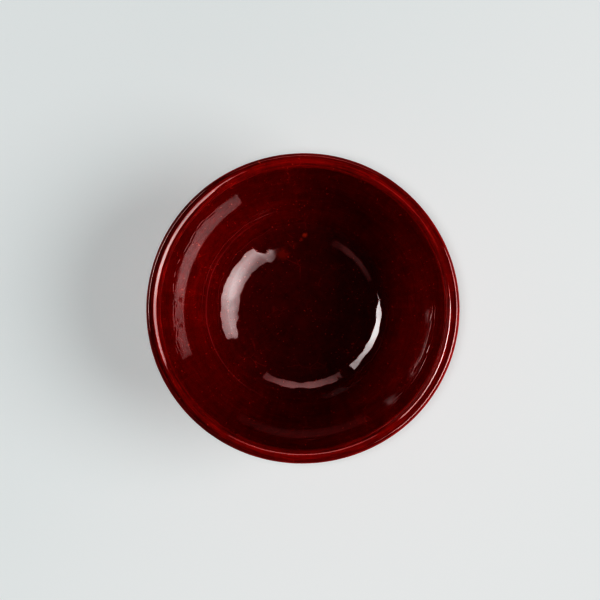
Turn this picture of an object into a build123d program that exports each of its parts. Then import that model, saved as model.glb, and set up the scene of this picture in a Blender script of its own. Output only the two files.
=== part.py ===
from build123d import *
import math
import os

# Glazed stoneware rice bowl, free-standing.
# Frame: +Z up, origin at the centre of the circle that the foot ring stands on, millimetres.
#
# The bowl is thrown as one open clay body with a rolled lip. Its underside is trimmed flat,
# with a shallow turned rebate, and a separately turned foot ring is luted into that rebate.
# The clay then takes four coats of glaze, each its own operation and its own solid here:
# one poured round the inside, one dipped over the outside, a second dip over the lip that
# laps them both, and one brushed into the hollow under the base. The tread of the foot ring
# stays bare clay, because a glazed tread would fuse to the kiln shelf.
#
# Every surface is turned. The whole part is one section in the XZ plane, made of straight
# lines and tangent arcs, revolved about Z. A section is walked from the floor's centre
# outwards, over the lip and down to the foot, so the air is always on its left: a coat of
# thickness t is the same walk moved t to the left.

# ---- driving dimensions -------------------------------------------------------------
HEIGHT = 55.0           # crest of the finished lip above the table
RIM_R = 60.0            # outermost radius of the finished lip
CREST_R = 58.3          # radius of the lip's crest
LIP_IN_R = 4.2          # section radius of the finished lip, crest to inside wall
GLAZE = 0.45            # thickness of the poured and dipped coats
RIM_COAT = 0.38         # thickness of the second dip over the lip

# Finished inside wall: (radius, slope from the horizontal), outwards from the floor's centre.
INSIDE = [(5.0, 0.13), (10.0, 0.49), (15.0, 2.89), (19.2, 6.39), (23.8, 11.43), (28.8, 20.61),
          (31.2, 27.54), (33.7, 35.18), (36.5, 41.83), (39.9, 49.18), (43.2, 57.91), (45.0, 61.98),
          (46.8, 63.67), (49.0, 63.57), (51.0, 62.97), (53.0, 61.43)]
LIP_SLOPE = 58.4        # slope where the wall runs into the lip
# Clay under the well: (radius, slope). It is a little steeper round the well's edge than the
# finished surface, so the inside coat is 0.8 mm thick in the well, where it ran down and
# pooled, against 0.45 mm on the wall.
WELL_CLAY = [(5.0, 0.13), (10.0, 0.52), (15.0, 3.1), (19.3, 7.0), (24.0, 12.5), (29.0, 22.1),
             (31.4, 28.9)]
POOL_R = 33.7           # the pool thins out here, at the foot of the wall

# Finished outside wall: (radius, slope), downwards from the neck under the lip.
OUTSIDE = [(51.5, 64.5), (45.5, 58.5), (40.5, 44.0), (35.5, 28.5), (30.0, 19.0)]
UNDERCUT = 138.0        # how far round the lip's roll goes before it turns into the neck
NECK_R = 2.4            # section radius of the neck
NECK_SLOPE = 69.0       # slope where the neck runs into the outside wall
FOOT_FILLET_R = 1.6     # section radius where the wall runs into the foot ring

# Foot ring and trimmed base, in clay.
FOOT_LEAN = 3.5         # lean of the foot ring's outside, in towards the tread
TREAD_BEVEL = 0.8       # bevel each side of the tread
FOOT_IN_TOP_R = 23.2    # inside radius of the foot ring at the base
FOOT_IN_TREAD_R = 23.8  # inside radius of the foot ring at the tread's bevel
BASE_Z = 9.0            # trimmed underside inside the foot ring
SEAT_Z = 10.4           # floor of the rebate that the foot ring is luted into

# Where the coats end.
LEDGE_BACK = 0.30       # the second dip's edge, this far down the inside wall from the lip
RIM_STOP_R = 57.75      # the second dip's edge on the outside wall, below the neck
GLAZE_STOP_OUT = 2.4    # outside coat stops this far above the table
GLAZE_STOP_IN = 2.8     # coat inside the foot ring stops this far above the table
WELL_FILLET_R = 1.2     # glaze fillet in the corner under the base


# ---- section walker -----------------------------------------------------------------
def sind(a):
    return math.sin(math.radians(a))


def cosd(a):
    return math.cos(math.radians(a))


class Walk:
    """A chain of tangent arcs and lines; headings in degrees, counter-clockwise from +X."""

    def __init__(self, x, z, heading):
        self.x, self.z, self.h = x, z, heading
        self.steps = []          # (kind, x0, z0, h0, x1, z1, h1, signed radius)

    def _to(self, kind, x, z, h, r):
        self.steps.append((kind, self.x, self.z, self.h, x, z, h, r))
        self.x, self.z, self.h = x, z, h

    def arc(self, r, h):
        """Turn to heading h; r is positive for a left turn and negative for a right one."""
        self._to("arc", self.x + r * (sind(h) - sind(self.h)),
                 self.z - r * (cosd(h) - cosd(self.h)), h, r)

    def arc_to_x(self, x, h):
        self.arc((x - self.x) / (sind(h) - sind(self.h)), h)

    def line(self, length):
        self._to("line", self.x + length * cosd(self.h), self.z + length * sind(self.h), self.h, 0)

    def line_to_z(self, z):
        self.line((z - self.z) / sind(self.h))

    def line_to_x(self, x):
        self.line((x - self.x) / cosd(self.h))

    def jump(self, x, z, h):
        """Straight to a point, with a corner there, leaving at heading h."""
        self._to("jump", x, z, h, 0)

    def offset(self, t):
        """The same walk, moved t to its left."""
        first = self.steps[0]
        w = Walk(first[1] - t * sind(first[3]), first[2] + t * cosd(first[3]), first[3])
        for kind, x0, z0, h0, x1, z1, h1, r in self.steps:
            if kind == "arc":
                w.arc(r - t, h1)
            else:
                w.line(math.hypot(x1 - x0, z1 - z0))
        return w


def edges(steps):
    out = []
    for kind, x0, z0, h0, x1, z1, h1, r in steps:
        if kind == "arc":
            hm = (h0 + h1) / 2
            xm = x0 + r * (sind(hm) - sind(h0))
            zm = z0 - r * (cosd(hm) - cosd(h0))
            out.append(ThreePointArc((x0, z0), (xm, zm), (x1, z1)))
        elif math.hypot(x1 - x0, z1 - z0) > 1e-6:
            out.append(Line((x0, z0), (x1, z1)))
    return out


def region(steps, closing):
    """The face bounded by a walk and by straight lines through the closing points."""
    e = edges(steps)
    here = (steps[-1][4], steps[-1][5])
    for p in closing + [(steps[0][1], steps[0][2])]:
        if math.hypot(p[0] - here[0], p[1] - here[1]) > 1e-6:
            e.append(Line(here, p))
        here = p
    return make_face(Wire(e))


# ---- finished surface under the second dip: inside, lip, outside ----------------------
lip_in = LIP_IN_R - RIM_COAT
lip_out = RIM_R - CREST_R - RIM_COAT


def inside_from(z):
    w = Walk(0, z, 0)
    for r, slope in INSIDE:
        w.arc_to_x(r, slope)
    w.arc_to_x(CREST_R - lip_in * sind(LIP_SLOPE), LIP_SLOPE)
    w.arc(-lip_in, 0)
    return w


FLOOR_Z = HEIGHT - RIM_COAT - inside_from(0).z
inside = inside_from(FLOOR_Z)

outside = Walk(CREST_R, HEIGHT - RIM_COAT, 0)
outside.arc(-lip_out, -UNDERCUT)
outside.arc(NECK_R, -180 + NECK_SLOPE)
for r, slope in OUTSIDE:
    outside.arc_to_x(r, slope - 180)
outside.arc(FOOT_FILLET_R, -90 - FOOT_LEAN)
outside_upper = len(outside.steps)
outside.line_to_z(GLAZE_STOP_OUT + GLAZE)

# ---- clay section ---------------------------------------------------------------------
# The clay follows the finished walk one coat inside it, apart from the well, where the
# glaze ran down and pooled and so lies thicker on the clay.
skin = inside.offset(-GLAZE)
pool_at = [r for r, slope in INSIDE].index(POOL_R) + 1     # the wall step that starts there
kx, kz, kh = skin.steps[pool_at][1], skin.steps[pool_at][2], skin.steps[pool_at][3]
drop = Walk(0, 0, 0)
for r, slope in WELL_CLAY:
    drop.arc_to_x(r, slope)
drop.arc_to_x(kx, kh)
clay = Walk(0, kz - drop.z, 0)
for r, slope in WELL_CLAY:
    clay.arc_to_x(r, slope)
clay.arc_to_x(kx, kh)
clay.steps += skin.steps[pool_at:]
under = outside.offset(-GLAZE)
clay.steps += under.steps[:outside_upper]
clay.x, clay.z, clay.h = under.steps[outside_upper - 1][4:7]
clay.line_to_z(TREAD_BEVEL)
clay.jump(clay.x - TREAD_BEVEL, 0, 180)
clay.jump(FOOT_IN_TREAD_R + TREAD_BEVEL, 0, 180)
lean_in = math.degrees(math.atan2(BASE_Z - TREAD_BEVEL, FOOT_IN_TOP_R - FOOT_IN_TREAD_R))
clay.jump(FOOT_IN_TREAD_R, TREAD_BEVEL, lean_in)
clay.jump(FOOT_IN_TOP_R, BASE_Z, 180)
clay_section = region(clay.steps, [(0, BASE_Z)])

# The foot ring is everything below the rebate and outside its step.
ring_zone = make_face(Wire([
    Line((FOOT_IN_TOP_R, SEAT_Z), (RIM_R, SEAT_Z)), Line((RIM_R, SEAT_Z), (RIM_R, -1)),
    Line((RIM_R, -1), (0, -1)), Line((0, -1), (0, BASE_Z)),
    Line((0, BASE_Z), (FOOT_IN_TOP_R, BASE_Z)), Line((FOOT_IN_TOP_R, BASE_Z), (FOOT_IN_TOP_R, SEAT_Z)),
]))
foot_section = clay_section & ring_zone
body_section = clay_section - ring_zone

# ---- glaze sections -------------------------------------------------------------------
# Each coat is drawn as a full shape that runs down into the clay, and what is already
# there is cut out of it, so every coat meets what it lies on exactly.
core = (CREST_R - 0.8, HEIGHT - RIM_COAT - 2.2)         # a point inside the lip's clay
inside_section = region(inside.steps, [core, (50.0, 37.0), (36.0, 18.0),
                                       (25.0, 12.0), (0, 12.0)]) - clay_section

outside.arc(-GLAZE, -180 - FOOT_LEAN)
outside.line(0.5)
outside_section = region(outside.steps, [
    (outside.x, 11.5), (33.0, 15.5), (40.0, 21.0), (52.0, 41.0), (55.6, 49.0), core,
]) - clay_section

# Second dip over the lip. Its edge inside is a quarter round standing on the wall, just
# below the lip, and its edge outside is another, on the wall below the neck.
wall = inside.steps[len(INSIDE)]
wall_r = wall[7]
edge_h = LIP_SLOPE - math.degrees(LEDGE_BACK / wall_r)
edge_x = wall[4] - wall_r * (sind(LIP_SLOPE) - sind(edge_h))
edge_z = wall[5] + wall_r * (cosd(LIP_SLOPE) - cosd(edge_h))
lift = inside.offset(RIM_COAT).steps[len(INSIDE) + 1]        # the lip's inner roll, coated
over = outside.offset(RIM_COAT).steps                        # the outside, coated
neck_wall = over[2]
stop_h = math.degrees(math.asin((RIM_STOP_R - neck_wall[1]) / neck_wall[7] + sind(neck_wall[3])))
coat = Walk(edge_x + 0.3 * sind(edge_h), edge_z - 0.3 * cosd(edge_h), edge_h + 90)
coat.line(0.3)
coat.arc(-RIM_COAT, edge_h)
coat.jump(lift[1], lift[2], LIP_SLOPE)
coat.arc(lift[7], 0)
coat.arc(over[0][7], over[0][6])
coat.arc(over[1][7], over[1][6])
coat.arc(neck_wall[7], -180 - stop_h)
coat.arc(-RIM_COAT, -270 - stop_h)
coat.line(0.3)
rim_section = region(coat.steps, [(55.9, 48.5), (57.2, 51.8)])
rim_section = rim_section - clay_section - inside_section - outside_section

# Coat inside the foot ring: up the ring's inside, round the corner, and across the base.
wl = Walk(FOOT_IN_TREAD_R, TREAD_BEVEL, lean_in)
wl.line_to_z(GLAZE_STOP_IN - GLAZE)
well = Walk(wl.x - 0.5 * cosd(lean_in + 90), wl.z - 0.5 * sind(lean_in + 90), lean_in + 90)
well.line(0.5)
well.arc(-GLAZE, lean_in)
well.line_to_z(BASE_Z - GLAZE - WELL_FILLET_R * (cosd(lean_in) - cosd(180)))
well.arc(WELL_FILLET_R, 180)
well.line_to_x(0)
well_section = region(well.steps, [(0, 10.5), (FOOT_IN_TOP_R + 1.2, 10.5)]) - clay_section


# ---- solids ---------------------------------------------------------------------------
def turned(section, name):
    """Revolve a section drawn in XY about the part's Z axis and write it."""
    faces = section.faces()
    assert len(faces) == 1, (name, len(faces))
    upright = Plane.XZ * faces[0]
    solid = revolve(upright, axis=Axis.Z, revolution_arc=360)
    solid = solid.solids()[0]
    assert solid.is_valid, name
    solid.label = name
    export_step(solid, os.path.join("parts", name + ".step"))
    return solid


os.makedirs("parts", exist_ok=True)
bowl_body = turned(body_section, "bowl_body")
foot_ring = turned(foot_section, "foot_ring")
inner_glaze = turned(inside_section, "inner_glaze")
outer_glaze = turned(outside_section, "outer_glaze")
rim_glaze = turned(rim_section, "rim_glaze")
foot_well_glaze = turned(well_section, "foot_well_glaze")

print("floor height %.3f mm, depth %.3f mm" % (FLOOR_Z, HEIGHT - FLOOR_Z))
print("clay floor height %.3f mm, pooled coat %.3f mm at the centre" % (kz - drop.z, FLOOR_Z - (kz - drop.z)))
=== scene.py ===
import math

import bpy
import numpy as np
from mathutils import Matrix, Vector


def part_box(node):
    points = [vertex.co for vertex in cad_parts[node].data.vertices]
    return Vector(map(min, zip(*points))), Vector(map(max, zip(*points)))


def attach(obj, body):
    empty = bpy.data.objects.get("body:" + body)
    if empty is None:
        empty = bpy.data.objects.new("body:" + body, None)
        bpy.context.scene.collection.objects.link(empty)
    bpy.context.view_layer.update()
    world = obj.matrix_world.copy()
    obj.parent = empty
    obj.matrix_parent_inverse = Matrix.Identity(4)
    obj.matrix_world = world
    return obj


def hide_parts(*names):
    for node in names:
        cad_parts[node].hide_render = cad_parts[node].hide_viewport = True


# Looks for a glazed stoneware rice bowl. Metres, +Z up, the origin under the foot ring.
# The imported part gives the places; the shapes here are the same turned section, with the
# small unevenness of a hand-thrown, hand-dipped pot worked into the meshes.

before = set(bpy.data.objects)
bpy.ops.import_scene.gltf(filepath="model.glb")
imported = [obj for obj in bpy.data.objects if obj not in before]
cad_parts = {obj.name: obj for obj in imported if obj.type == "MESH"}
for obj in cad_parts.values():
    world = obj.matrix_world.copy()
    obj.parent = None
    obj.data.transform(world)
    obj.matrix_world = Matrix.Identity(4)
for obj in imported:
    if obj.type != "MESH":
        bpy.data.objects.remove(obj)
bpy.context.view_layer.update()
MM = 0.001

# ---- sizes, in millimetres ------------------------------------------------------------
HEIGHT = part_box("rim_glaze")[1].z / MM
RIM_R = 60.0
CREST_R = 58.3
LIP_IN_R = 4.2
GLAZE = 0.45
RIM_COAT = 0.38
POOL = 0.78
INSIDE = [(0.0, 0.0), (10.0, 0.49), (19.2, 6.39), (23.8, 11.43), (28.8, 20.61), (33.7, 35.18), (39.9, 49.18),
          (46.8, 63.67)]
LIP_SLOPE = 58.4
OUTSIDE = [(51.5, 64.5), (45.5, 58.5), (40.5, 44.0), (35.5, 28.5), (30.0, 19.0)]
UNDERCUT = 138.0
NECK_R = 2.4
NECK_SLOPE = 69.0
FOOT_FILLET_R = 1.6
FOOT_LEAN = 3.5
BEVEL = 0.8
FOOT_IN_TOP_R = 23.2
FOOT_IN_TREAD_R = 23.8
BASE_Z = 9.0
SEAT_Z = 10.4
LEDGE_BACK = 0.30
RIM_STOP_R = 57.75
GLAZE_STOP_OUT = 2.4
GLAZE_STOP_IN = 2.8
WELL_FILLET_R = 1.2

SEG = 600                      # segments round the bowl


# ---- section walks --------------------------------------------------------------------
def sind(a):
    return math.sin(math.radians(a))


def cosd(a):
    return math.cos(math.radians(a))


class Walk:
    """Points and headings along a chain of tangent arcs and lines; the air is on the left."""

    def __init__(self, x, z, h):
        self.x, self.z, self.h = x, z, h
        self.pts = [(x, z, h)]

    def arc(self, r, h, step=0.5):
        n = max(2, int(math.ceil(abs(r) * abs(math.radians(h - self.h)) / step)), int(abs(h - self.h) / 9) + 1)
        for i in range(1, n + 1):
            a = self.h + (h - self.h) * i / n
            self.pts.append((self.x + r * (sind(a) - sind(self.h)), self.z - r * (cosd(a) - cosd(self.h)), a))
        self.x, self.z, self.h = self.pts[-1]

    def arc_to_x(self, x, h, step=0.5):
        self.arc((x - self.x) / (sind(h) - sind(self.h)), h, step)

    def line(self, length, step=0.6):
        n = max(1, int(math.ceil(abs(length) / step)))
        for i in range(1, n + 1):
            t = length * i / n
            self.pts.append((self.x + t * cosd(self.h), self.z + t * sind(self.h), self.h))
        self.x, self.z, self.h = self.pts[-1]

    def line_to_z(self, z, step=0.6):
        self.line((z - self.z) / sind(self.h), step)

    def line_to_x(self, x, step=0.6):
        self.line((x - self.x) / cosd(self.h), step)

    def array(self):
        return np.array(self.pts, float)


def smooth_slopes(knots, x):
    """Monotone cubic through the knots, so the wall's curvature has no steps in it."""
    kx = np.array([k[0] for k in knots], float)
    ky = np.array([k[1] for k in knots], float)
    h = np.diff(kx)
    d = np.diff(ky) / h
    m = np.zeros(len(kx))
    for i in range(1, len(kx) - 1):
        if d[i - 1] * d[i] > 0:
            w1, w2 = 2 * h[i] + h[i - 1], h[i] + 2 * h[i - 1]
            m[i] = (w1 + w2) / (w1 / d[i - 1] + w2 / d[i])
    for e, h0, h1, d0, d1 in ((0, h[0], h[1], d[0], d[1]), (-1, h[-1], h[-2], d[-1], d[-2])):
        m[e] = ((2 * h0 + h1) * d0 - h0 * d1) / (h0 + h1)
        if m[e] * d0 <= 0:
            m[e] = 0.0
        elif d0 * d1 <= 0 and abs(m[e]) > 3 * abs(d0):
            m[e] = 3 * d0
    i = np.clip(np.searchsorted(kx, x) - 1, 0, len(h) - 1)
    t = (x - kx[i]) / h[i]
    return ((2 * t**3 - 3 * t**2 + 1) * ky[i] + (t**3 - 2 * t**2 + t) * h[i] * m[i]
            + (3 * t**2 - 2 * t**3) * ky[i + 1] + (t**3 - t**2) * h[i] * m[i + 1])


# the finished inside, under the second dip: centre of the floor to the crest of the lip
lip_in = LIP_IN_R - RIM_COAT
lip_out = RIM_R - CREST_R - RIM_COAT
wall_top_r = CREST_R - lip_in * sind(LIP_SLOPE)
knots = INSIDE + [(wall_top_r, LIP_SLOPE)]
rf = np.linspace(0.0, wall_top_r, 4000)
sf = smooth_slopes(knots, rf)
tf = np.tan(np.radians(sf))
zf = np.concatenate([[0.0], np.cumsum((tf[1:] + tf[:-1]) / 2 * np.diff(rf))])
zf += HEIGHT - RIM_COAT - lip_in * (1 - cosd(LIP_SLOPE)) - zf[-1]
arc = np.concatenate([[0.0], np.cumsum(np.hypot(np.diff(rf), np.diff(zf)))])
# rings lie closer together where the surface has more to show
gap = np.interp(rf, [0, 20, 24, 33, 37, 44, 46, 52, 54], [1.05, 0.95, 0.60, 0.60, 0.80, 0.75, 0.40, 0.40, 0.45])
count = np.concatenate([[0.0], np.cumsum(np.diff(arc) / gap[1:])])
n_in = int(round(count[-1])) + 1
sa = np.interp(np.linspace(0, count[-1], n_in), count, arc)
inside = np.stack([np.interp(sa, arc, rf), np.interp(sa, arc, zf), np.interp(sa, arc, sf)], 1)
w = Walk(inside[-1, 0], inside[-1, 1], LIP_SLOPE)
w.arc(-lip_in, 0, 0.3)
inside = np.concatenate([inside, w.array()[1:]])

w = Walk(CREST_R, HEIGHT - RIM_COAT, 0)
w.arc(-lip_out, -UNDERCUT, 0.3)
w.arc(NECK_R, -180 + NECK_SLOPE, 0.3)
for r, slope in OUTSIDE:
    w.arc_to_x(r, slope - 180, 0.7)
w.arc(FOOT_FILLET_R, -90 - FOOT_LEAN, 0.3)
n_upper = len(w.pts)
w.line_to_z(GLAZE_STOP_OUT + GLAZE)
outside = w.array()


def moved(a, t):
    """A walk moved t to its left; t may differ from point to point."""
    out = a.copy()
    out[:, 0] -= t * np.sin(np.radians(a[:, 2]))
    out[:, 1] += t * np.cos(np.radians(a[:, 2]))
    return out


def pool(r):
    """Thickness of the inside coat: it pooled in the well."""
    t = np.clip((33.7 - r) / (33.7 - 20.0), 0, 1)
    return GLAZE + (POOL - GLAZE) * t * t * (3 - 2 * t)


# ---- unevenness -----------------------------------------------------------------------
rng = np.random.default_rng(20817)


class RoundWaves:
    """A sum of waves in angle and height, periodic round the bowl, so nothing shows a seam."""

    def __init__(self, count, m_low, m_high, k_low, k_high):
        self.m = rng.integers(m_low, m_high + 1, count)
        self.k = rng.uniform(k_low, k_high, count) * rng.choice([-1, 1], count)
        self.p = rng.uniform(0, 2 * math.pi, count)
        self.a = rng.uniform(0.5, 1.0, count)
        self.a /= math.sqrt((self.a**2).sum() / 2)

    def __call__(self, phi, s):
        out = np.zeros(np.broadcast(phi, s).shape)
        for m, k, p, a in zip(self.m, self.k, self.p, self.a):
            out += a * np.cos(m * phi + k * s + p)
        return out


class FlatWaves:
    """A sum of plane waves over the inside, laid out flat from its centre, so it has no pole."""

    def __init__(self, count, long_mm, short_mm):
        lam = np.exp(rng.uniform(math.log(short_mm), math.log(long_mm), count))
        turn = rng.uniform(0, 2 * math.pi, count)
        self.u = 2 * math.pi / lam * np.cos(turn)
        self.v = 2 * math.pi / lam * np.sin(turn)
        self.p = rng.uniform(0, 2 * math.pi, count)
        self.a = (lam / long_mm) ** 0.8
        self.a /= math.sqrt((self.a**2).sum() / 2)

    def __call__(self, phi, s):
        x, y = s * np.cos(phi), s * np.sin(phi)
        out = np.zeros(x.shape)
        for u, v, p, a in zip(self.u, self.v, self.p, self.a):
            out += a * np.cos(u * x + v * y + p)
        return out


def step(a, b, x):
    t = np.clip((x - a) / (b - a), 0, 1)
    return t * t * (3 - 2 * t)


throw_out = RoundWaves(14, 2, 6, 0.01, 0.10)
rings = RoundWaves(12, 0, 3, 1.5, 2.6)
throw_in = FlatWaves(14, 90.0, 38.0)
wobble_out = RoundWaves(40, 16, 60, 0.2, 1.0)
wobble_in = FlatWaves(60, 9.0, 3.6)

# Small curdled ridges where the glaze crept on the wall: angle in degrees from +X, radius,
# length along the wall, tilt, depth.
CREEPS = [
    (134.5, 50.9, 3.4, 10, 0.030), (140.5, 51.4, 3.0, -6, 0.034), (146.5, 51.0, 2.6, -20, 0.030),
    (152.0, 50.7, 3.8, 6, 0.026), (159.5, 51.2, 1.6, 30, 0.024), (165.0, 51.0, 2.0, -14, 0.022),
    (170.5, 50.6, 2.2, -24, 0.030), (176.0, 47.6, 2.0, 5, 0.034), (178.5, 49.2, 1.8, 40, 0.026),
    (181.5, 50.0, 3.2, 4, 0.036), (185.5, 49.0, 1.6, -50, 0.030), (188.0, 47.7, 1.8, 2, 0.036),
    (191.0, 49.6, 2.6, 35, 0.022), (196.5, 50.4, 2.8, -8, 0.032), (198.5, 51.1, 2.0, 12, 0.024),
    (318.0, 50.2, 2.8, 10, 0.028), (331.0, 49.0, 2.2, -18, 0.026), (342.0, 50.8, 3.0, 6, 0.024),
    (356.0, 49.6, 2.0, 24, 0.022), (24.0, 50.4, 2.4, -10, 0.024), (71.0, 50.9, 2.6, 8, 0.026),
    (97.0, 49.8, 1.8, -30, 0.022), (238.0, 50.6, 2.4, 14, 0.026), (274.0, 51.0, 3.0, -4, 0.024),
]


def creeps(phi, s):
    out = np.zeros(np.broadcast(phi, s).shape)
    for a, r, length, tilt, depth in CREEPS:
        s0 = float(np.interp(r, rf, arc))
        du = ((phi - math.radians(a) + math.pi) % (2 * math.pi) - math.pi) * r
        dv = s - s0
        c, q = cosd(tilt), sind(tilt)
        u, v = du * c + dv * q, dv * c - du * q
        v = v + 0.10 * u * u / max(length, 1)
        out -= 1.7 * depth * np.exp(-((u / (0.5 * length)) ** 4)) * (
            np.exp(-((v / 0.34) ** 2)) - 0.55 * np.exp(-(((v - 0.75) / 0.5) ** 2)))
    return out


def body_relief(phi, s):
    """Millimetres along the normal that every layer shares: the throwing."""
    t = step(arc[-1] - 5, arc[-1] + 4, s)
    return (1 - t) * 0.030 * throw_in(phi, s) + t * 0.045 * throw_out(phi, s)


def glaze_relief(phi, s):
    """The coat's own run and wobble: least on the floor and the wall, most at the well's edge."""
    much = np.interp(s, [0, 19, 24, 29, 34, 40, 48, 70, arc[-1] - 1, arc[-1] + 6],
                     [0.0011, 0.0013, 0.004, 0.010, 0.012, 0.005, 0.0022, 0.0024, 0.005, 0.007])
    t = step(arc[-1] - 5, arc[-1] + 4, s)
    fine = np.interp(s, [0, 20, 26, 36, 42, 52, 60], [0.0002, 0.0003, 0.0021, 0.0021, 0.0009, 0.0003, 0.0005])
    return much * ((1 - t) * wobble_in(phi, s) + t * wobble_out(phi, s)) + fine * rings(phi, s) + creeps(phi, s) + ridges(phi, s)


# Brushed-on ridges high on one side of the wall, long and thin, following the wheel:
# radius, first and last angle in degrees, height, half width, rise in radius per radian.
RIDGES = [
    (46.9, -52, -9, 0.0210, 0.46, 0.3), (48.3, -44, -20, 0.0060, 0.35, -0.4), (51.4, -50, 6, 0.0230, 0.42, 0.2),
    (50.2, -24, 5, 0.0180, 0.34, 0.8), (52.5, -30, 2, 0.0170, 0.34, -0.3), (53.6, -46, -12, 0.0140, 0.32, 0.2),
]


def ridges(phi, s):
    out = np.zeros(np.broadcast(phi, s).shape)
    for r0, a0, a1, height, width, rise in RIDGES:
        mid, half = math.radians((a0 + a1) / 2), math.radians((a1 - a0) / 2)
        off = (phi - mid + math.pi) % (2 * math.pi) - math.pi
        where = np.interp(r0 + rise * off + 0.12 * np.sin(9.0 * off + r0), rf, arc)
        out += height * (0.8 + 0.2 * np.sin(13.0 * off + 2 * r0)) * np.exp(-((off / half) ** 6)) * np.exp(-(((s - where) / width) ** 2))
    return out


def out_of_round(phi, z):
    """The lip is about half a percent out of round; the foot was trimmed true."""
    up = np.clip(z / HEIGHT, 0, 1)
    off = (phi - math.radians(328) + math.pi) % (2 * math.pi) - math.pi
    return 1 + up**1.5 * (0.0048 * np.cos(2 * (phi - math.radians(16.5))) + 0.0080 * np.exp(-((off / 0.62) ** 2)))


phi = np.arange(SEG) * (2 * math.pi / SEG)


def turned(name, loop, closed=True, pole_start=False, pole_end=False):
    """Revolve a closed section. loop rows: x, z, nx, nz, s, body share, glaze share."""
    loop = np.asarray(loop, float)
    n = len(loop)
    x, z, nx, nz, s, wb, wg = (loop[:, i][:, None] for i in range(7))
    ph = phi[None, :]
    d = wb * body_relief(ph, s) + wg * glaze_relief(ph, s)
    r = x + nx * d
    zz = z + nz * d
    r = r * out_of_round(ph, zz)
    co = np.stack([r * np.cos(ph), r * np.sin(ph), zz], -1) * MM
    ring = np.arange(n * SEG).reshape(n, SEG)
    verts = [co.reshape(-1, 3)]
    quads, tris = [], []
    last = n if closed else n - 1
    for i in range(last):
        j = (i + 1) % n
        a, b = ring[i], ring[j]
        a2, b2 = np.roll(a, -1), np.roll(b, -1)
        quads.append(np.stack([a, b, b2, a2], 1))
    extra = n * SEG
    for flag, i in ((pole_start, 0), (pole_end, n - 1)):
        if flag:
            verts.append(np.array([[0, 0, co[i, :, 2].mean()]]))
            a = ring[i]
            c = np.full(SEG, extra)
            t = np.stack([c, a, np.roll(a, -1)], 1) if i == 0 else np.stack([c, np.roll(a, -1), a], 1)
            tris.append(t)
            extra += 1
    co = np.concatenate(verts)
    quads = np.concatenate(quads)
    tris = np.concatenate(tris) if tris else np.zeros((0, 3), int)
    me = bpy.data.meshes.new(name)
    me.vertices.add(len(co))
    me.vertices.foreach_set("co", co.astype(np.float32).ravel())
    corners = np.concatenate([quads.ravel(), tris.ravel()])
    me.loops.add(len(corners))
    me.loops.foreach_set("vertex_index", corners.astype(np.int32))
    starts = np.concatenate([np.arange(len(quads)) * 4, len(quads) * 4 + np.arange(len(tris)) * 3])
    me.polygons.add(len(starts))
    me.polygons.foreach_set("loop_start", starts.astype(np.int32))
    me.update(calc_edges=True)
    me.validate()
    me.polygons.foreach_set("use_smooth", np.ones(len(me.polygons), bool))
    ob = bpy.data.objects.new(name, me)
    bpy.context.scene.collection.objects.link(ob)
    return ob


def rows(a, s0, wb, wg, sign=1.0):
    """Section rows from walk points, with the arc length as s."""
    s = s0 + np.concatenate([[0.0], np.cumsum(np.hypot(np.diff(a[:, 0]), np.diff(a[:, 1])))])
    h = np.radians(a[:, 2])
    return np.stack([a[:, 0], a[:, 1], -np.sin(h) * sign, np.cos(h) * sign, s,
                     np.full(len(a), wb), np.full(len(a), wg)], 1)


def with_s(a, s, wb, wg):
    h = np.radians(a[:, 2])
    return np.stack([a[:, 0], a[:, 1], -np.sin(h), np.cos(h), s, np.full(len(a), wb), np.full(len(a), wg)], 1)


def length_of(a):
    return np.concatenate([[0.0], np.cumsum(np.hypot(np.diff(a[:, 0]), np.diff(a[:, 1])))])


s_in = length_of(inside)
s_out = s_in[-1] + length_of(outside)

# inside coat: its face, then back under it along the clay
first = 1                                # the first ring off the axis; the pole closes it
face = with_s(inside[first:], s_in[first:], 1, 1)
back_pts = moved(inside, -pool(inside[:, 0]))
pick = np.unique(np.concatenate([np.arange(first, len(inside), 4), [len(inside) - 1]]))
back = with_s(back_pts[pick], s_in[pick], 1, 0)
inner = turned("glaze_inside", np.concatenate([face, back[::-1]]), closed=False, pole_start=True, pole_end=True)

# outside coat, with its rounded edge just above the tread
w = Walk(outside[-1, 0], outside[-1, 1], outside[-1, 2])
w.arc(-GLAZE, -180 - FOOT_LEAN, 0.12)
edge = w.array()[1:]
face = np.concatenate([with_s(outside, s_out, 1, 1), rows(edge, s_out[-1], 1, 0.3)])
back_pts = moved(outside, -GLAZE)
pick = np.unique(np.concatenate([np.arange(0, len(outside), 4), [len(outside) - 1]]))
back = with_s(back_pts[pick], s_out[pick], 1, 0)
outer = turned("glaze_outside", np.concatenate([face, back[::-1]]))

# second dip over the lip
k0 = int(np.argmin(np.abs(s_in - (s_in[n_in - 1] - LEDGE_BACK))))
stop = int(np.argmax((outside[:, 1] < HEIGHT - 4.5) & (outside[:, 0] < RIM_STOP_R)))
run = np.concatenate([inside[k0:], outside[1:stop]])
s_run = np.concatenate([s_in[k0:], s_out[1:stop]])
top = moved(run, RIM_COAT)
a0, a1 = run[0], run[-1]
w = Walk(a0[0], a0[1], a0[2] + 90)
w.arc(-RIM_COAT, a0[2], 0.1)
start = w.array()[:-1]
w = Walk(top[-1, 0], top[-1, 1], top[-1, 2])
w.arc(-RIM_COAT, top[-1, 2] - 90, 0.1)
end = w.array()[1:]
shift0 = np.array([RIM_COAT * cosd(a0[2]), RIM_COAT * sind(a0[2])])
start[:, 0] -= shift0[0]
start[:, 1] -= shift0[1]
face = np.concatenate([with_s(start, np.full(len(start), s_run[0]), 1, 0.5), with_s(top, s_run, 1, 1),
                       with_s(end, np.full(len(end), s_run[-1]), 1, 0.5)])
pick = np.unique(np.concatenate([np.arange(0, len(run), 3), [len(run) - 1]]))
back = with_s(moved(run[pick], -0.02), s_run[pick], 1, 0)
rim = turned("glaze_lip", np.concatenate([face, back[::-1]]))

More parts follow.
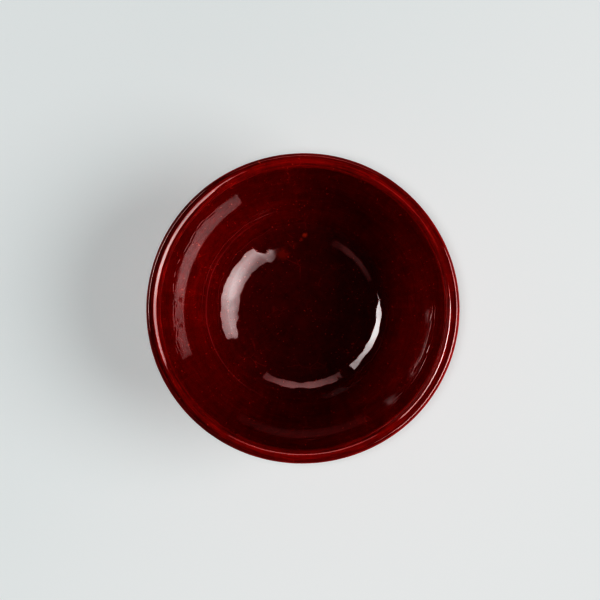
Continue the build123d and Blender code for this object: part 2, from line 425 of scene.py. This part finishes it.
# clay body
clay_in = moved(inside, -pool(inside[:, 0]))
clay_out = moved(outside[:n_upper], -GLAZE)
keep = clay_out[:, 1] > SEAT_Z
clay_out = clay_out[keep]
pick_in = np.unique(np.concatenate([np.arange(1, len(clay_in), 4), [len(clay_in) - 1]]))
pick_out = np.unique(np.concatenate([np.arange(0, len(clay_out), 3), [len(clay_out) - 1]]))
loop = np.concatenate([
    with_s(clay_in[pick_in], s_in[pick_in], 1, 0),
    with_s(clay_out[pick_out], s_out[:n_upper][keep][pick_out], 1, 0),
])
lx = clay_out[-1, 0]
flat = np.array([
    [lx - 0.1, SEAT_Z, 0, -1, 0, 0, 0], [FOOT_IN_TOP_R, SEAT_Z, 0, -1, 0, 0, 0],
    [FOOT_IN_TOP_R, BASE_Z, 0, -1, 0, 0, 0], [12.0, BASE_Z, 0, -1, 0, 0, 0], [1.0, BASE_Z, 0, -1, 0, 0, 0],
])
body = turned("clay_bowl", np.concatenate([loop, flat]), closed=False, pole_start=True, pole_end=True)

# foot ring
full = moved(outside[:n_upper], -GLAZE)
low = full[full[:, 1] <= SEAT_Z]
w = Walk(full[-1, 0], full[-1, 1], full[-1, 2])
w.line_to_z(BEVEL)
side = w.array()[1:]
w = Walk(side[-1, 0] - BEVEL, 0.0, 180)
w.line_to_x(FOOT_IN_TREAD_R + BEVEL, 0.5)
tread = w.array()
w = Walk(FOOT_IN_TREAD_R, BEVEL, math.degrees(math.atan2(BASE_Z - BEVEL, FOOT_IN_TOP_R - FOOT_IN_TREAD_R)))
w.line_to_z(BASE_Z)
inner_side = w.array()
ring_rows = np.concatenate([
    rows(low, 0, 0, 0), rows(side, 0, 0, 0), rows(tread, 0, 0, 0), rows(inner_side, 0, 0, 0),
    np.array([[FOOT_IN_TOP_R, SEAT_Z, -1, 0, 0, 0, 0]]),
])
foot = turned("clay_foot_ring", ring_rows)

# coat inside the foot ring
lean = math.degrees(math.atan2(BASE_Z - BEVEL, FOOT_IN_TOP_R - FOOT_IN_TREAD_R))
z0 = GLAZE_STOP_IN - GLAZE
x0 = FOOT_IN_TREAD_R + (FOOT_IN_TOP_R - FOOT_IN_TREAD_R) * (z0 - BEVEL) / (BASE_Z - BEVEL)
w = Walk(x0, z0, lean + 90)
w.arc(-GLAZE, lean, 0.12)
w.line_to_z(BASE_Z - GLAZE - WELL_FILLET_R * (cosd(lean) + 1))
w.arc(WELL_FILLET_R, 180, 0.2)
w.line_to_x(0.6, 0.8)
face = rows(w.array(), 0, 0, 0.6)
back = np.array([[0.6, BASE_Z, 0, 1, 0, 0, 0], [12.0, BASE_Z, 0, 1, 0, 0, 0], [FOOT_IN_TOP_R, BASE_Z, 0, 1, 0, 0, 0],
                 [(FOOT_IN_TOP_R + x0) / 2, (BASE_Z + z0) / 2, 0, 1, 0, 0, 0]])
loop = np.concatenate([back, face])
well = turned("glaze_under_base", loop, closed=False, pole_start=True, pole_end=True)

# ---- materials ------------------------------------------------------------------------
class Nodes:
    """Short hands for a node tree; every place and size in it is in millimetres."""

    def __init__(self, nt):
        self.nt = nt

    def add(self, kind, **props):
        n = self.nt.nodes.new(kind)
        for k, v in props.items():
            setattr(n, k, v)
        return n

    def put(self, socket, value):
        if isinstance(value, bpy.types.NodeSocket):
            self.nt.links.new(value, socket)
        else:
            socket.default_value = value

    def math(self, op, a, b=None, c=None, clamp=False):
        n = self.add("ShaderNodeMath", operation=op, use_clamp=clamp)
        for i, v in enumerate((a, b, c)):
            if v is not None:
                self.put(n.inputs[i], v)
        return n.outputs[0]

    def combine(self, x, y, z):
        n = self.add("ShaderNodeCombineXYZ")
        for i, v in enumerate((x, y, z)):
            self.put(n.inputs[i], v)
        return n.outputs[0]

    def noise(self, vector, scale, detail=3.0, rough=0.55, warp=0.0):
        n = self.add("ShaderNodeTexNoise")
        self.put(n.inputs["Vector"], vector)
        n.inputs["Scale"].default_value = scale
        n.inputs["Detail"].default_value = detail
        n.inputs["Roughness"].default_value = rough
        n.inputs["Distortion"].default_value = warp
        return n.outputs["Fac"]

    def spots(self, vector, scale, size, share, dims="3D"):
        """Round spots: 1 at the middle, 0 from size (in cells) outwards, in some of the cells."""
        v = self.add("ShaderNodeTexVoronoi", feature="F1", voronoi_dimensions=dims)
        self.put(v.inputs["Vector"], vector)
        v.inputs["Scale"].default_value = scale
        near = self.ramp_math(v.outputs["Distance"], size, size * 0.45)
        sep = self.add("ShaderNodeSeparateColor")
        self.put(sep.inputs[0], v.outputs["Color"])
        return self.math("MULTIPLY", near, self.math("GREATER_THAN", sep.outputs[0], 1 - share))

    def ramp_math(self, x, a, b):
        """0 at a, 1 at b, smooth between."""
        n = self.add("ShaderNodeMapRange", interpolation_type="SMOOTHSTEP")
        self.put(n.inputs["Value"], x)
        n.inputs["From Min"].default_value = a
        n.inputs["From Max"].default_value = b
        return n.outputs["Result"]

    def table(self, x, low, high, rows):
        """A colour or a number looked up over x; rows are (x, value)."""
        t = self.math("DIVIDE", self.math("SUBTRACT", x, low), high - low, clamp=True)
        n = self.add("ShaderNodeValToRGB")
        self.put(n.inputs[0], t)
        e = n.color_ramp.elements
        while len(e) > 1:
            e.remove(e[-1])
        for i, (at, v) in enumerate(rows):
            el = e[0] if i == 0 else e.new((at - low) / (high - low))
            el.position = (at - low) / (high - low)
            v = (v, v, v) if isinstance(v, (int, float)) else v
            el.color = (v[0], v[1], v[2], 1)
        return n.outputs[0]

    def mix(self, fac, a, b, kind="MIX"):
        n = self.add("ShaderNodeMix", data_type="RGBA", blend_type=kind)
        self.put(n.inputs["Factor"], fac)
        self.put(n.inputs["A"], a)
        self.put(n.inputs["B"], b)
        return n.outputs["Result"]

    def mix_number(self, fac, a, b):
        n = self.add("ShaderNodeMix", data_type="FLOAT")
        self.put(n.inputs[0], fac)
        self.put(n.inputs[2], a)
        self.put(n.inputs[3], b)
        return n.outputs[0]

    def scaled(self, vector, factor):
        n = self.add("ShaderNodeVectorMath", operation="SCALE")
        self.put(n.inputs[0], vector)
        self.put(n.inputs["Scale"], factor)
        return n.outputs[0]

    def away(self, vector, point):
        n = self.add("ShaderNodeVectorMath", operation="DISTANCE")
        self.put(n.inputs[0], vector)
        n.inputs[1].default_value = point
        return n.outputs["Value"]

    def bump(self, height, micron, normal=None):
        n = self.add("ShaderNodeBump")
        self.put(n.inputs["Height"], height)
        n.inputs["Strength"].default_value = 1.0
        n.inputs["Distance"].default_value = micron * 1e-6
        if normal is not None:
            self.put(n.inputs["Normal"], normal)
        return n.outputs[0]


def new_material(name):
    m = bpy.data.materials.new(name)
    m.use_nodes = True
    nt = m.node_tree
    nt.nodes.clear()
    out = nt.nodes.new("ShaderNodeOutputMaterial")
    bs = nt.nodes.new("ShaderNodeBsdfPrincipled")
    nt.links.new(bs.outputs[0], out.inputs[0])
    g = Nodes(nt)
    at = g.add("ShaderNodeTexCoord").outputs["Object"]
    p = g.scaled(at, 1000.0)
    sep = g.add("ShaderNodeSeparateXYZ")
    g.put(sep.inputs[0], p)
    x, y, z = sep.outputs
    r = g.math("SQRT", g.math("ADD", g.math("MULTIPLY", x, x), g.math("MULTIPLY", y, y)))
    safe = g.math("MAXIMUM", r, 0.5)
    cx, cy = g.math("DIVIDE", x, safe), g.math("DIVIDE", y, safe)
    return m, g, bs, p, x, y, z, r, cx, cy


def glaze_material(name, place):
    # deep copper red: dark where the coat pooled, brighter where it is thin
    m, g, bs, p, x, y, z, r, cx, cy = new_material(name)
    if place == "inside":
        tone = g.table(r, 0, 60, [
            (0, (0.158, 0.0021, 0.0025)), (13, (0.150, 0.0021, 0.0025)), (20, (0.148, 0.0021, 0.0025)),
            (25, (0.148, 0.0022, 0.0024)), (32, (0.168, 0.0025, 0.0027)), (39, (0.215, 0.0030, 0.0030)),
            (48, (0.225, 0.0032, 0.0032)), (53.6, (0.220, 0.0032, 0.0032)), (55, (0.240, 0.0038, 0.0034))])
    elif place == "lip":
        tone = g.table(r, 54, 60.5, [
            (54.0, (0.260, 0.0044, 0.0036)), (55.0, (0.340, 0.0070, 0.0050)), (55.5, (0.250, 0.0048, 0.0040)),
            (56.3, (0.320, 0.0080, 0.0055)), (57.0, (0.350, 0.0095, 0.0060)), (57.6, (0.270, 0.0050, 0.0040)),
            (58.2, (0.170, 0.0026, 0.0028)), (59.0, (0.165, 0.0024, 0.0028)), (59.4, (0.220, 0.0036, 0.0034)),
            (60.2, (0.250, 0.0044, 0.0038))])
        # painted light: the lip is made lighter on the right, where the key light falls, most on its outer roll, and
        # darker on the left, away from it
        painted_key_side_light = g.mix_number(g.ramp_math(cx, -0.90, 0.05), 0.90, g.mix_number(g.ramp_math(r, 57.4, 58.3), 1.20, 1.50))
        tone = g.mix(1.0, tone, g.combine(painted_key_side_light, painted_key_side_light, painted_key_side_light), "MULTIPLY")
    elif place == "outside":
        tone = g.table(z, 0, 55, [
            (1.5, (0.330, 0.0120, 0.0080)), (3.2, (0.230, 0.0045, 0.0040)), (8.0, (0.160, 0.0030, 0.0030)),
            (11.5, (0.130, 0.0026, 0.0028)), (20, (0.190, 0.0032, 0.0032)), (36, (0.235, 0.0036, 0.0035)),
            (50, (0.250, 0.0040, 0.0036)), (54, (0.280, 0.0050, 0.0040))])
    else:
        tone = g.table(r, 0, 25, [
            (0, (0.170, 0.0030, 0.0032)), (16, (0.190, 0.0034, 0.0034)), (21.5, (0.120, 0.0024, 0.0028)),
            (23.2, (0.260, 0.0060, 0.0045)), (23.7, (0.330, 0.0120, 0.0080))])

    # cloudy mottling, then the bands the wheel left, then faint runs down the wall
    cloud = g.noise(p, 0.085, 4.0, 0.60, 0.6)
    fine = g.noise(p, 0.55, 3.0, 0.60)
    along = g.combine(g.math("MULTIPLY", cx, 2.2), g.math("MULTIPLY", cy, 2.2),
                      g.math("ADD", g.math("MULTIPLY", r, 0.62), g.math("MULTIPLY", z, 0.30)))
    bands = g.noise(along, 1.0, 4.0, 0.65)
    down = g.combine(g.math("MULTIPLY", cx, 26.0), g.math("MULTIPLY", cy, 26.0), g.math("MULTIPLY", z, 0.035))
    runs = g.noise(down, 1.0, 3.0, 0.5)
    brush = g.noise(g.combine(g.math("MULTIPLY", cx, 5.0), g.math("MULTIPLY", cy, 5.0),
                              g.math("ADD", g.math("MULTIPLY", r, 1.9), g.math("MULTIPLY", z, 0.9))), 1.0, 5.0, 0.72, 0.4)
    value = g.math("ADD", g.math("MULTIPLY", cloud, 0.50), g.math("MULTIPLY", fine, 0.24))
    value = g.math("ADD", value, g.math("MULTIPLY", bands, 0.34 if place != "lip" else 0.60))
    value = g.math("ADD", value, g.math("MULTIPLY", brush, 0.34))
    value = g.math("ADD", value, g.math("MULTIPLY", runs, 0.22))
    middle = 0.82 if place != "lip" else 0.95
    value = g.math("ADD", g.math("MULTIPLY", g.math("SUBTRACT", value, middle), 1.65), 1.0)
    value = g.math("MAXIMUM", value, 0.35)
    shade = g.combine(value, value, value)
    color = g.mix(1.0, tone, shade, "MULTIPLY")

    if place == "inside":
        # a thin pale line round a throwing ridge, painted on the lit left side only: a painted highlight where the
        # ridge catches the light
        near = g.math("DIVIDE", g.math("SUBTRACT", r, g.math("ADD", 37.95, g.math("MULTIPLY", cloud, 0.9))), 0.24)
        line = g.math("POWER", 2.718, g.math("MULTIPLY", g.math("MULTIPLY", near, near), -1.0))
        line = g.math("MULTIPLY", line, g.math("ADD", g.math("MULTIPLY", g.ramp_math(bands, 0.35, 0.60), 0.6), 0.4))
        # painted highlight: the line is kept to the left side, where the light falls on the ridge
        line = g.math("MULTIPLY", line, g.ramp_math(cx, -0.30, -0.72))
        color = g.mix(g.math("MULTIPLY", line, 0.46), color, (0.50, 0.120, 0.130, 1))
        # thin places round the well's edge and one low on the floor
        for place_mm, size, amount, tint in (
                ((1.0, 29.2, 17.9), 1.5, 0.85, (0.62, 0.100, 0.025, 1)), ((-0.4, 27.4, 17.4), 1.1, 0.55, (0.55, 0.070, 0.020, 1)),
                ((-8.1, 21.5, 16.3), 3.4, 0.46, (0.46, 0.055, 0.016, 1)),
                ((-0.2, -5.5, 15.0), 4.6, 0.40, (0.24, 0.006, 0.005, 1)), ((24.0, -14.5, 17.5), 2.2, 0.25, (0.36, 0.020, 0.010, 1)),
                ((-3.0, 25.0, 17.3), 2.0, 0.30, (0.40, 0.035, 0.014, 1))):
            d = g.math("ADD", g.away(p, place_mm), g.math("MULTIPLY", g.math("SUBTRACT", fine, 0.5), size))
            color = g.mix(g.math("MULTIPLY", g.ramp_math(d, size, size * 0.15), amount), color, tint)
    if place == "lip":
        # brush-like streaks where the second dip thinned over the roll
        vec = g.combine(g.math("MULTIPLY", cx, 7.0), g.math("MULTIPLY", cy, 7.0),
                        g.math("MULTIPLY", g.math("SUBTRACT", r, g.math("MULTIPLY", z, 0.35)), 2.6))
        streak = g.noise(vec, 1.0, 3.0, 0.6)
        color = g.mix(g.math("MULTIPLY", g.ramp_math(streak, 0.52, 0.74), 0.75), color, (0.55, 0.030, 0.014, 1))
        color = g.mix(g.math("MULTIPLY", g.ramp_math(streak, 0.46, 0.28), 0.60), color, (0.12, 0.0022, 0.0026, 1))

    # pale specks, darker iron specks and pinholes
    patch = g.ramp_math(g.noise(p, 0.16, 2.0, 0.5), 0.44, 0.62)
    bent = g.combine(g.math("ADD", x, g.math("MULTIPLY", fine, 2.2)), g.math("ADD", y, g.math("MULTIPLY", cloud, 5.0)), z)
    flat_on = "3D" if place == "outside" else "2D"
    pale = g.math("MULTIPLY", g.spots(bent, 0.46, 0.170, 0.15, flat_on), g.math("ADD", g.math("MULTIPLY", patch, 0.75), 0.25))
    tiny = g.math("MULTIPLY", g.spots(bent, 0.95, 0.260, 0.08, flat_on), g.math("ADD", g.math("MULTIPLY", patch, 0.70), 0.30))
    # hair scratches from spoons, seen only where the light catches them
    warp = g.add("ShaderNodeTexVoronoi", feature="DISTANCE_TO_EDGE")
    g.put(warp.inputs["Vector"], g.combine(g.math("ADD", g.math("MULTIPLY", x, 0.11), g.math("MULTIPLY", fine, 0.10)),
                                           g.math("ADD", g.math("MULTIPLY", y, 0.17), g.math("MULTIPLY", cloud, 0.25)), 0.0))
    warp.inputs["Scale"].default_value = 1.0
    hair = g.math("MULTIPLY", g.ramp_math(warp.outputs["Distance"], 0.026, 0.006), g.ramp_math(cloud, 0.52, 0.66))
    iron = g.spots(g.scaled(p, 1.0), 0.27, 0.045, 0.35)
    color = g.mix(g.math("MULTIPLY", hair, 0.26), color, (0.50, 0.045, 0.030, 1))
    color = g.mix(g.math("MULTIPLY", pale, 0.78), color, (0.56, 0.075, 0.045, 1))
    color = g.mix(g.math("MULTIPLY", tiny, 0.72), color, (0.52, 0.070, 0.045, 1))
    color = g.mix(g.math("MULTIPLY", iron, 0.75), color, (0.020, 0.0012, 0.0014, 1))
    g.put(bs.inputs["Base Color"], color)

    rough = g.mix_number(g.ramp_math(fine, 0.35, 0.75), 0.040, 0.075)
    rough = g.mix_number(tiny, rough, 0.14)
    g.put(bs.inputs["Roughness"], rough)
    bs.inputs["IOR"].default_value = 1.52

    peel = g.noise(p, 1.1, 2.0, 0.5)
    normal = g.bump(peel, 1.6)
    holes = g.math("MAXIMUM", g.math("MULTIPLY", pale, 0.6), tiny)
    normal = g.bump(g.math("SUBTRACT", 1.0, holes), 3.0, normal)
    g.put(bs.inputs["Normal"], normal)
    return m


def clay_material(name):
    m, g, bs, p, x, y, z, r, cx, cy = new_material(name)
    cloud = g.noise(p, 0.12, 4.0, 0.6, 0.5)
    grain = g.noise(p, 2.6, 4.0, 0.7)
    turn = g.noise(g.combine(g.math("MULTIPLY", cx, 1.2), g.math("MULTIPLY", cy, 1.2),
                             g.math("ADD", g.math("MULTIPLY", r, 2.4), g.math("MULTIPLY", z, 2.4))), 1.0, 3.0, 0.6)
    color = g.table(g.math("ADD", g.math("MULTIPLY", cloud, 0.6), g.math("MULTIPLY", turn, 0.4)), 0.3, 0.7, [
        (0.3, (0.27, 0.155, 0.095)), (0.5, (0.36, 0.22, 0.145)), (0.7, (0.45, 0.29, 0.20))])
    # a flashed edge, toasted where the bare clay met the glaze
    toast = g.ramp_math(z, 0.6, 2.2)
    color = g.mix(g.math("MULTIPLY", toast, 0.5), color, (0.22, 0.085, 0.045, 1))
    iron = g.spots(p, 0.85, 0.10, 0.35)
    sand = g.spots(p, 1.7, 0.16, 0.30)
    color = g.mix(g.math("MULTIPLY", sand, 0.45), color, (0.52, 0.40, 0.30, 1))
    color = g.mix(g.math("MULTIPLY", iron, 0.85), color, (0.05, 0.028, 0.02, 1))
    g.put(bs.inputs["Base Color"], color)
    g.put(bs.inputs["Roughness"], g.mix_number(grain, 0.72, 0.95))
    bs.inputs["Specular IOR Level"].default_value = 0.3
    normal = g.bump(g.math("ADD", g.math("MULTIPLY", turn, 0.6), g.math("MULTIPLY", grain, 0.5)), 60.0)
    normal = g.bump(g.math("ADD", sand, g.math("MULTIPLY", iron, -1.0)), 40.0, normal)
    g.put(bs.inputs["Normal"], normal)
    return m


def paper_material(name):
    m, g, bs, p, x, y, z, r, cx, cy = new_material(name)
    wide = g.noise(p, 0.004, 2.0, 0.5)
    fibre = g.noise(p, 0.9, 4.0, 0.7)
    # painted light: the paper is made lighter towards +X and -Y (the lower right seen from above), where the room's
    # light is brighter
    painted_light_slope = g.math("ADD", g.math("MULTIPLY", x, 0.80), g.math("MULTIPLY", y, -0.60))
    color = g.mix(g.ramp_math(painted_light_slope, -130.0, 130.0), (0.782, 0.822, 0.822, 1), (0.880, 0.918, 0.914, 1))
    g.put(bs.inputs["Base Color"], g.mix(g.math("MULTIPLY", g.ramp_math(wide, 0.3, 0.7), 0.12), color, (0.86, 0.87, 0.875, 1)))
    bs.inputs["Roughness"].default_value = 0.9
    bs.inputs["Specular IOR Level"].default_value = 0.0
    g.put(bs.inputs["Normal"], g.bump(fibre, 12.0))
    return m


glaze_in = glaze_material("red_glaze_inside", "inside")
glaze_lip = glaze_material("red_glaze_lip", "lip")
glaze_out = glaze_material("red_glaze_outside", "outside")
glaze_under = glaze_material("red_glaze_under", "under")
clay = clay_material("fired_clay")
floor_mat = paper_material("paper")

for ob, mat, node, sl in ((inner, glaze_in, "inner_glaze", "red_glaze"), (outer, glaze_out, "outer_glaze", "red_glaze"),
                          (rim, glaze_lip, "rim_glaze", "red_glaze"), (body, clay, "bowl_body", "fired_clay"),
                          (foot, clay, "foot_ring", "fired_clay"), (well, glaze_under, "foot_well_glaze", "red_glaze")):
    ob.data.materials.append(mat)
    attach(ob, "root")
    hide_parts(node)

# ---- floor ----------------------------------------------------------------------------
me = bpy.data.meshes.new("floor")
me.from_pydata([(-4, -4, 0), (4, -4, 0), (4, 4, 0), (-4, 4, 0)], [], [(0, 1, 2, 3)])
floor = bpy.data.objects.new("floor", me)
bpy.context.scene.collection.objects.link(floor)
me.materials.append(floor_mat)

# ---- the room: what the glaze mirrors, and the soft light that fills --------------------
# Directions are azimuth from +X and elevation, in degrees. A large soft box stands on the
# right and a narrow one on the left, with two dim cards behind; the rest of the room is dark.
world = bpy.data.worlds.new("studio")
bpy.context.scene.world = world
world.use_nodes = True
nt = world.node_tree
nt.nodes.clear()
g = Nodes(nt)
sep = g.add("ShaderNodeSeparateXYZ")
g.put(sep.inputs[0], g.add("ShaderNodeTexCoord").outputs["Generated"])
wx, wy, wz = sep.outputs
el = g.math("MULTIPLY", g.math("ARCSINE", g.math("MINIMUM", g.math("MAXIMUM", wz, -1.0), 1.0)), 180 / math.pi)
path = g.add("ShaderNodeLightPath")
again = g.math("GREATER_THAN", path.outputs["Glossy Depth"], 1.5)


def turned_az(mid):
    """Azimuth measured from mid."""
    c, q = cosd(mid), sind(mid)
    u = g.math("ADD", g.math("MULTIPLY", wx, c), g.math("MULTIPLY", wy, q))
    v = g.math("SUBTRACT", g.math("MULTIPLY", wy, c), g.math("MULTIPLY", wx, q))
    return g.math("MULTIPLY", g.math("ARCTAN2", v, u), 180 / math.pi)


def window(az, low, high, floor_rows, top_rows, az_gain, el_gain, soft, peak, slack=0.0):
    """Light from a window in the sky whose lower and upper edges vary with azimuth."""
    bottom = g.math("MULTIPLY", g.table(az, low, high, [(a, v / 90) for a, v in floor_rows]), 90.0)
    bottom = g.math("SUBTRACT", bottom, g.math("MULTIPLY", again, slack))
    top = g.math("MULTIPLY", g.table(az, low, high, [(a, v / 90) for a, v in top_rows]), 90.0)
    top = g.math("SUBTRACT", top, g.math("MULTIPLY", again, slack * 0.8))
    inside_low = g.ramp_math(g.math("SUBTRACT", el, bottom), -soft, soft)
    inside_top = g.ramp_math(g.math("SUBTRACT", top, el), -soft, soft)
    inside_az = g.math("MULTIPLY", g.ramp_math(az, low, low + 1.2), g.ramp_math(az, high, high - 1.2))
    out = g.math("MULTIPLY", g.math("MULTIPLY", inside_low, inside_top), inside_az)
    out = g.math("MULTIPLY", out, g.table(az, low, high, az_gain))
    out = g.math("MULTIPLY", out, g.table(el, 0, 90, el_gain))
    return g.math("MULTIPLY", out, peak)


az1 = turned_az(-20.0)
# light that comes by way of the far wall reaches the well from a little further round
lag = g.math("MULTIPLY", g.math("MULTIPLY", again, 9.0), g.ramp_math(az1, 8.0, -36.0))
az1 = g.math("ADD", az1, lag)
key_box = window(
    az1, -49, 45,
    [(-49, 62), (-44, 61), (-40, 59.5), (-36, 55), (-33, 51), (-31.5, 37.5), (-24, 34.5), (-16, 33), (-8, 31.5), (-2, 28.5), (6, 26.8),
     (40, 27), (42, 30), (43.5, 42), (45, 50)],
    [(-49, 66), (-44, 71), (-40, 73), (-36, 71), (-32, 68.5), (-24, 67.5), (-16, 66), (0, 65), (8, 63.5), (24, 64), (28, 61), (32, 57), (40, 55),
     (44, 53), (45, 50)],
    [(-49, 0.0), (-46, 0.30), (-43, 0.70), (-40, 1.0), (-36, 1.15), (-33, 1.0), (-31, 0.82), (-24, 0.85), (-16, 0.92), (-10, 1.04), (-4, 1.16), (6, 1.20), (12, 1.06), (16, 0.94),
     (24, 0.80), (32, 0.80), (38, 0.78), (42, 0.60), (45, 0.45)],
    [(26, 0.66), (30, 0.70), (34, 0.78), (38, 0.82), (42, 0.88), (46, 1.0), (50, 0.98), (54, 0.90), (58, 0.72), (62, 0.58),
     (66, 0.46), (72, 0.38)], 0.7, 14.0, slack=6.8)
key_box = g.math("MULTIPLY", key_box, g.mix_number(again, 1.0, 2.40))      # twice-reflected light is polarised
az2 = turned_az(160.0)
left_box = window(
    az2, -34, 32,
    [(-34, 32.5), (-26, 33.5), (-18, 35.5), (-10, 33), (-2, 34), (10, 34.5), (18, 33.5), (22, 35.5), (26, 37.5), (30, 40),
     (32, 41)],
    [(-34, 46.5), (-26, 47.5), (-18, 47.5), (-10, 47.2), (-6, 46.5), (2, 46.0), (6, 45.6), (12, 46.2), (18, 46.6), (22, 45.6), (26, 43), (30, 41.5), (32, 41)],
    [(-34, 0.0), (-31, 0.0), (-29, 0.44), (-26, 0.46), (-22, 0.50), (-18, 0.56), (-14, 0.62), (-10, 0.66), (-6, 0.82), (-2, 0.90), (2, 1.0),
     (10, 1.0), (14, 0.88), (18, 0.80), (22, 0.88), (26, 0.66), (30, 0.34), (32, 0.25)],
    [(30, 0.8), (36, 0.9), (42, 1.0), (50, 0.9)], 0.8, 24.0, slack=1.0)
left_box = g.math("MULTIPLY", left_box, g.mix_number(again, 1.0, 2.6))
az3 = turned_az(90.0)
card_back = window(az3, -31, 30, [(-31, 32), (30, 32)], [(-31, 47), (30, 47)],
                   [(-31, 0.5), (-10, 1.0), (10, 1.0), (30, 0.5)], [(30, 1.0), (40, 0.9), (50, 0.7)], 1.5, 4.8)
az4 = turned_az(222.0)
card_front = window(az4, -20, 24, [(-20, 43), (24, 44)], [(-20, 53), (24, 55)],
                    [(-20, 0.5), (-6, 1.0), (10, 1.0), (24, 0.5)], [(40, 0.8), (48, 1.0), (56, 0.8)], 2.5, 1.3)
low_left = window(az2, -36, 34, [(-36, 7), (34, 7)], [(-36, 18), (34, 18)],
                  [(-36, 0.4), (-10, 1.0), (10, 1.0), (34, 0.4)], [(5, 0.8), (12, 1.0), (20, 0.8)], 2.0, 2.0)
mirror = g.math("ADD", g.math("ADD", key_box, left_box), g.math("ADD", card_back, card_front))
mirror = g.math("ADD", mirror, low_left)
mirror = g.math("ADD", mirror, 0.10)
fill = 0.06
seen = g.mix_number(path.outputs["Is Glossy Ray"], fill, mirror)
seen = g.mix_number(path.outputs["Is Camera Ray"], seen, 0.97)
bg = g.add("ShaderNodeBackground")
g.put(bg.inputs["Color"], (1.0, 1.0, 1.0, 1.0))
g.put(bg.inputs["Strength"], seen)
warm = g.add("ShaderNodeBackground")                        # the cards pick up red from the bowl
g.put(warm.inputs["Color"], (1.0, 0.10, 0.08, 1.0))
g.put(warm.inputs["Strength"], g.math("MULTIPLY", path.outputs["Is Glossy Ray"],
                                      g.math("ADD", g.math("MULTIPLY", card_back, 0.50), g.math("MULTIPLY", card_front, 0.9))))
both = g.add("ShaderNodeAddShader")
nt.links.new(bg.outputs[0], both.inputs[0])
nt.links.new(warm.outputs[0], both.inputs[1])
wo = g.add("ShaderNodeOutputWorld")
nt.links.new(both.outputs[0], wo.inputs[0])
world.cycles.sampling_method = "NONE"


def soft_sun(name, az, elev, strength, spread, group):
    """Parallel light from a round patch of the sky. It lights one group and isn't mirrored."""
    li = bpy.data.lights.new(name, "SUN")
    li.energy = strength
    li.angle = math.radians(spread)
    ob = bpy.data.objects.new(name, li)
    a, e = math.radians(az), math.radians(elev)
    ob.rotation_euler = Vector((math.cos(e) * math.cos(a), math.cos(e) * math.sin(a), math.sin(e))).to_track_quat("Z", "Y").to_euler()
    bpy.context.scene.collection.objects.link(ob)
    ob.visible_glossy = False
    ob.light_linking.receiver_collection = group
    return ob


on_bowl = bpy.data.collections.new("lit_bowl")
for ob in (inner, outer, rim, body, foot, well):
    on_bowl.objects.link(ob)
on_inside = bpy.data.collections.new("lit_inside")
on_inside.objects.link(inner)
on_inside.objects.link(rim)
on_floor = bpy.data.collections.new("lit_floor")
on_floor.objects.link(floor)
soft_sun("key_bowl", -14, 38, 2.75, 36, on_bowl)
soft_sun("high_bowl", -60, 80, 0.34, 20, on_bowl)
soft_sun("left_bowl", 168, 20, 1.60, 20, on_inside)
soft_sun("key_floor", -6, 45, 1.42, 38, on_floor)
soft_sun("high_floor", 180, 88, 2.36, 14, on_floor)

# ---- camera ---------------------------------------------------------------------------
cam = bpy.data.cameras.new("camera")
cam_ob = bpy.data.objects.new("camera", cam)
bpy.context.scene.collection.objects.link(cam_ob)
bpy.context.scene.camera = cam_ob
DIST = 0.90
PER_MM = 155.73 / 60.0                   # how large a millimetre at the lip comes out, 600 being the view's width
cam_ob.location = (-2.55 / PER_MM * MM, 8.43 / PER_MM * MM, HEIGHT * MM + DIST)
cam_ob.rotation_euler = (0, 0, 0)
cam.lens = 36.0 * (DIST / MM + 2.2) / (600.0 / PER_MM)
cam.sensor_width = 36.0
cam.clip_start = 0.05

# a print-like tone curve: deep shadows, a gentle shoulder
vs = bpy.context.scene.view_settings
vs.view_transform = "Standard"
vs.look = "None"
vs.use_curve_mapping = True
cm = vs.curve_mapping
cm.white_level = (2.5, 2.5, 2.5)
curve = cm.curves[3]
tone = [(0.0, 0.0), (0.05, 0.0045), (0.10, 0.0158), (0.155, 0.035), (0.22, 0.0655), (0.30, 0.1145), (0.40, 0.192),
        (0.50, 0.287), (0.60, 0.39), (0.70, 0.495), (0.80, 0.60), (0.90, 0.70), (1.0, 0.78), (1.2, 0.86), (1.5, 0.92),
        (2.5, 1.0)]
while len(curve.points) > 2:
    curve.points.remove(curve.points[1])
curve.points[0].location = (0.0, 0.0)
curve.points[1].location = (1.0, 1.0)
for a, b in tone[1:-1]:
    pt = curve.points.new(a / 2.5, b)
    pt.handle_type = "AUTO_CLAMPED"
cm.update()
